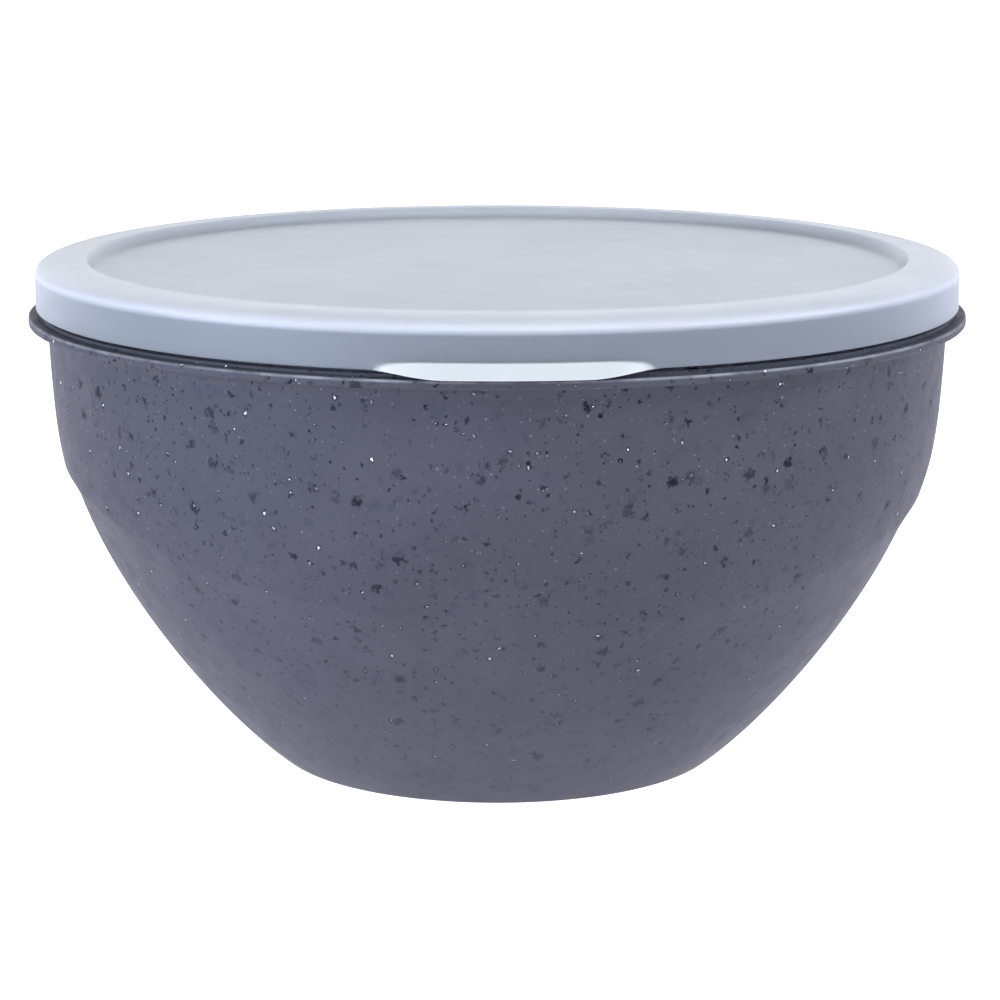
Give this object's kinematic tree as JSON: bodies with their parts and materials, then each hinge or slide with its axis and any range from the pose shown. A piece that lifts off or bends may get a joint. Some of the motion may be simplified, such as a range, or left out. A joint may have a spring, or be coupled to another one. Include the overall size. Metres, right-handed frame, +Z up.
{
  "type": "bowl with lid",
  "caption": "Round speckled plastic kitchen bowl with a flange below its rim and a translucent press-on lid with a pull tab.",
  "frame": {"origin": "on the bowl's axis, at the level of the surface that the bowl stands on", "axes": "+Z up along the bowl's axis, -Y towards the lid's pull tab, +X to the right when the tab faces the viewer"},
  "size_m": [0.24, 0.2425, 0.1304],
  "materials": {
    "stone_grey_plastic": "satin grey moulded plastic with black and white flakes, like granite",
    "milky_plastic": "smooth milky translucent plastic"
  },
  "bodies": {
    "bowl": {"bowl": "stone_grey_plastic"},
    "lid": {"lid": "milky_plastic"}
  },
  "joints": [
    {"name": "lid_lift", "type": "slide", "parent": "bowl", "child": "lid", "axis": [0, 0, 1], "range_m": [0, 0.08]}
  ]
}
